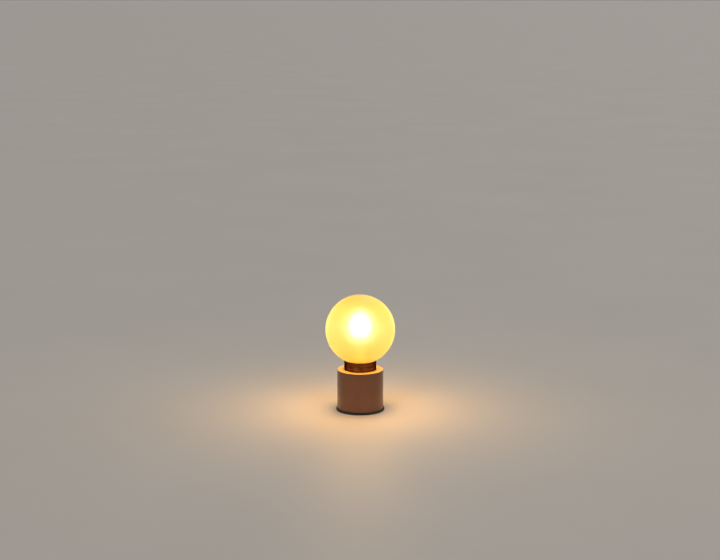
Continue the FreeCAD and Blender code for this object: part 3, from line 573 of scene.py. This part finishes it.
def globe():
    """Blown globe with its neck. Its inner face doesn't glow. It casts no shadow, so the light gets out."""
    wall, neck, fillet = 1.0, 11.2, 1.5
    distance = GLOBE_RADIUS + fillet
    side = neck + fillet
    drop = math.sqrt(distance**2 - side**2)
    lean = math.degrees(math.atan2(drop, side))
    outer = arc((0, GLOBE_CENTRE), GLOBE_RADIUS, 90, -lean, 120)
    outer += arc((side, GLOBE_CENTRE - drop), fillet, 180 - lean, 180, 8)
    inner = arc((side, GLOBE_CENTRE - drop), fillet + wall, 180, 180 - lean, 8)
    inner += arc((0, GLOBE_CENTRE), GLOBE_RADIUS - wall, -lean, 90, 100)
    rim = [(neck, NECK_LOW), (neck - wall, NECK_LOW)]
    outline = [(max(r, 0), z) for r, z in outer + rim + inner]
    piece = lathe("globe_frosted", outline, MATERIALS["frosted_glass"], 192)
    piece.data.materials.append(frosted_glass("frosted_glass_inside", False))
    centre = Vector((0, 0, GLOBE_CENTRE * MM))
    for face in piece.data.polygons:
        if (face.center - centre).length < (GLOBE_RADIUS - wall / 2) * MM:
            face.material_index = 1
    piece.visible_shadow = False
    return put(piece, "bulb", "glass_globe")


def collar():
    """Trim sleeve over the cap's upper end: two crowned bands with a groove between.

    Its top is dished to follow the globe.
    """
    bore, rim, seat = 12.12, COLLAR_RADIUS - 0.2, GLOBE_RADIUS + 0.12
    crown, valley = 0.24, COLLAR_RADIUS - 0.6

    def dish(r):
        """Height of the dished top at a radius."""
        return GLOBE_CENTRE - math.sqrt(seat**2 - r**2)

    def band(low, high):
        """Crowned side with rounded shoulders."""
        points = []
        for z in steps_between(low, high, 14):
            from_middle = abs(2 * (z - low) / (high - low) - 1)
            points.append((COLLAR_RADIUS - crown * from_middle**2.6, z))
        return points

    lower = band(COLLAR_LOW + 0.1, COLLAR_GROOVE - 0.2)
    upper = band(COLLAR_GROOVE + 0.2, dish(rim) - 0.05)
    top = [(r, dish(r)) for r in steps_between(rim, bore, 8)]
    groove = [(valley, COLLAR_GROOVE - 0.08), (valley, COLLAR_GROOVE + 0.08)]
    outline = [(bore, COLLAR_LOW), (COLLAR_RADIUS - 0.5, COLLAR_LOW), *lower, *groove, *upper, *top]
    piece = lathe("collar_ring", outline, MATERIALS["collar_copper"], 160)
    return put(piece, "bulb", "neck_collar")


def cap():
    """Rolled E27 cap. Its thread fades in above the taper and out below the collar."""
    bore, mouth, taper_top = CAP_ROOT - SHEET, 9.2, 25.0
    heights = steps_between(taper_top + 0.2, COLLAR_LOW + 0.2, 100)
    rings = [(mouth, CAP_BOTTOM + 0.3, False), (mouth, CAP_BOTTOM, False), (mouth + SHEET, CAP_BOTTOM, False)]
    rings += [(CAP_ROOT - 0.25, taper_top, False)]
    rings += [(CAP_ROOT, z, True) for z in heights]
    rings += [(CAP_ROOT, CAP_TOP, False), (bore, CAP_TOP, False), (bore, taper_top + 0.5, False)]
    thread = (taper_top + 1, COLLAR_LOW - 0.6, 0)
    piece = threaded_shell("cap_thread", rings, thread, MATERIALS["cap_copper"])
    return put(piece, "bulb", "cap_shell")


def diffuser():
    """Opal oval sleeve round the light column.

    Its side is a long arc below its middle and a shorter one above, closed by a round crown.
    """
    wall, bore, middle, upper, lower = 0.8, 6.45, 73.0, 20.0, 40.0
    seat = DIFFUSER_LOW + 1.5
    back = upper - DIFFUSER_RADIUS
    slack = upper - (DIFFUSER_TOP - middle)
    crown = (back**2 - slack**2) / (2 * slack)
    crown_radius = DIFFUSER_TOP - middle - crown
    lean = math.degrees(math.atan2(crown, back))
    sink = math.degrees(math.asin((middle - DIFFUSER_LOW) / lower))
    rise = math.degrees(math.asin((middle - seat) / (lower - wall)))
    outer = arc((DIFFUSER_RADIUS - lower, middle), lower, -sink, 0, 20)
    outer += arc((-back, middle), upper, 0, lean, 24)[1:]
    outer += arc((0, middle + crown), crown_radius, lean, 90, 16)[1:]
    inner = arc((0, middle + crown), crown_radius - wall, 90, lean, 16)
    inner += arc((-back, middle), upper - wall, lean, 0, 24)[1:]
    inner += arc((DIFFUSER_RADIUS - lower, middle), lower - wall, 0, -rise, 20)[1:]
    outline = [(max(r, 0), z) for r, z in outer + inner] + [(bore, seat), (bore, DIFFUSER_LOW)]
    piece = lathe("diffuser_oval", outline, MATERIALS["opal_plastic"], 96)
    return put(piece, "bulb", "column_diffuser")


def foot():
    """Soft foot ring with a fine groove round it."""
    inner, middle = 15.6, (FOOT_LOW + FOOT_TOP) / 2
    groove_half, groove_depth = 0.15, 0.12
    outline = rounded([
        (inner, FOOT_LOW, 0.3),
        (FOOT_RADIUS, FOOT_LOW, 0.6),
        (FOOT_RADIUS, middle - groove_half),
        (FOOT_RADIUS - groove_depth, middle),
        (FOOT_RADIUS, middle + groove_half),
        (FOOT_RADIUS, FOOT_TOP, 0.5),
        (inner, FOOT_TOP, 0.2),
    ])
    piece = lathe("foot_pad", outline, MATERIALS["foot_rubber"], 200)
    return put(piece, "base", "foot_ring")


def socket_shell():
    """Rolled brass screw shell of the socket, on a flange with a hole for the centre contact.

    Its thread fades in at the bottom and runs out through the open top.
    """
    land, flange = CAP_ROOT + CLEARANCE, 8.4
    thread = (24.0, 60.0, 0.15)
    heights = steps_between(SHELL_LOW + 3, SHELL_TOP, 90)
    rings = [(flange, SHELL_LOW, False), (land + SHEET, SHELL_LOW, False)]
    rings += [(land + SHEET, z, True) for z in heights]
    rings += [(land, z, True) for z in reversed(heights)]
    rings += [(land, SHELL_LOW + SHEET, False), (flange, SHELL_LOW + SHEET, False)]
    piece = threaded_shell("socket_thread", rings, thread, MATERIALS["brass"])
    return put(piece, "base", "screw_shell")


def spring():
    """Compression spring under the centre contact, its end coils closed.
    """
    wire, coils, steps, sides = 0.3, 7, 36, 12
    length = SPRING_TOP - SPRING_LOW
    height = length - 2 * wire
    closed_rise = 2.1 * wire
    open_rise = (height - 2 * closed_rise) / (coils - 2)

    def rise(turn):
        """Height of the wire's middle above the first coil's."""
        if turn < 1:
            return closed_rise * turn
        if turn > coils - 1:
            return height - closed_rise * (coils - turn)
        return closed_rise + open_rise * (turn - 1)

    rows = coils * steps + 1
    verts = []
    for k in range(rows):
        angle = 2 * math.pi * k / steps
        for around in turns(sides):
            r = SPRING_RADIUS - wire + wire * math.cos(around)
            z = SPRING_LOW + wire + rise(k / steps) + wire * math.sin(around)
            verts.append((r * math.cos(angle), r * math.sin(angle), z))
    ends = [list(range(sides)), list(range((rows - 1) * sides, rows * sides))]
    faces = loop_faces(rows, sides, False) + ends
    piece = new_piece("spring_coil", verts, faces, MATERIALS["spring_steel"], smooth_angle=60)
    put(piece, "base", "contact_spring")
    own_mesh(piece)


# Stage, lights and camera.


def floor():
    """Pale floor, large enough to reach the horizon."""
    half = 1000.0
    corners = [(-half, -half, 0), (half, -half, 0), (half, half, 0), (-half, half, 0)]
    mesh = bpy.data.meshes.new("floor")
    mesh.from_pydata(corners, [], [(0, 1, 2, 3)])
    paint = Paint("floor", Roughness=0.6, IOR=1.3)
    cloud = paint.noise(paint.stretched(0.004, 0.004, 0.004), 3)
    paint.colour(paint.ramp(cloud, (0.3, (0.70, 0.68, 0.65)), (0.7, (0.73, 0.71, 0.68))))
    mesh.materials.append(paint.material)
    piece = bpy.data.objects.new("floor", mesh)
    bpy.context.scene.collection.objects.link(piece)


def soft_light(name, place, power, colour, spread):
    """Broad, even light that shines from a place towards the object. spread is its width in degrees."""
    light = bpy.data.lights.new(name, "SUN")
    light.energy = power
    light.color = colour
    light.angle = math.radians(spread)
    lamp = bpy.data.objects.new(name, light)
    lamp.location = place
    lamp.rotation_euler = (-Vector(place)).to_track_quat("-Z", "Y").to_euler()
    bpy.context.scene.collection.objects.link(lamp)


def bulb_light(glass):
    """The bulb's own light on everything outside its globe, which glows by itself. It moves with the bulb."""
    light = bpy.data.lights.new("bulb_light", "POINT")
    light.energy = 0.46
    light.color = (1.0, 0.46, 0.06)
    light.shadow_soft_size = 0.027
    lamp = bpy.data.objects.new("bulb_light", light)
    lamp.location = (0, 0, GLOBE_CENTRE * MM)
    bpy.context.scene.collection.objects.link(lamp)
    lamp.visible_camera = False
    lamp.visible_transmission = False
    unlit = bpy.data.collections.new("not_lit_by_bulb_light")
    unlit.objects.link(glass)
    unlit.collection_objects[0].light_linking.link_state = "EXCLUDE"
    lamp.light_linking.receiver_collection = unlit
    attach(lamp, "bulb")


def studio():
    """Even surroundings, as bright at the horizon as the far floor and dimmer overhead."""
    world = bpy.data.worlds.new("studio")
    bpy.context.scene.world = world
    world.use_nodes = True
    nodes, links = world.node_tree.nodes, world.node_tree.links
    background = nodes["Background"]
    background.inputs["Color"].default_value = (0.86, 0.82, 0.775, 1)
    direction = nodes.new("ShaderNodeSeparateXYZ")
    links.new(nodes.new("ShaderNodeTexCoord").outputs["Generated"], direction.inputs["Vector"])
    fade = nodes.new("ShaderNodeMapRange")
    for socket, number in (("From Min", 0.0), ("From Max", 0.3), ("To Min", 0.375), ("To Max", 0.27)):
        fade.inputs[socket].default_value = number
    links.new(direction.outputs["Z"], fade.inputs["Value"])
    links.new(fade.outputs["Result"], background.inputs["Strength"])


def lights(glass):
    """Soft studio light, and the bulb's own."""
    studio()
    soft_light("key", (-0.6, -0.9, 0.75), 0.50, (1.0, 0.97, 0.93), 24)
    soft_light("fill", (0.6, -0.9, 0.75), 0.38, (1.0, 0.97, 0.94), 24)
    soft_light("back", (0.3, 0.9, 0.9), 0.35, (1.0, 0.96, 0.92), 40)
    bulb_light(glass)


def camera():
    """Camera in front of the object and above it, tipped down a little."""
    tip = 10.55
    data = bpy.data.cameras.new("camera")
    data.sensor_width = 36.0
    data.lens = 75.0
    data.clip_start = 0.01
    data.clip_end = 2000
    view = bpy.data.objects.new("camera", data)
    view.location = (-0.00023, -1.2643, 0.3498)
    view.rotation_euler = (math.radians(90 - tip), 0, 0)
    bpy.context.scene.collection.objects.link(view)
    bpy.context.scene.camera = view


dress_cad()
camera()
glass = globe()
collar()
cap()
diffuser()
foot()
socket_shell()
spring()
floor()
lights(glass)
bpy.context.scene.view_settings.view_transform = "Standard"
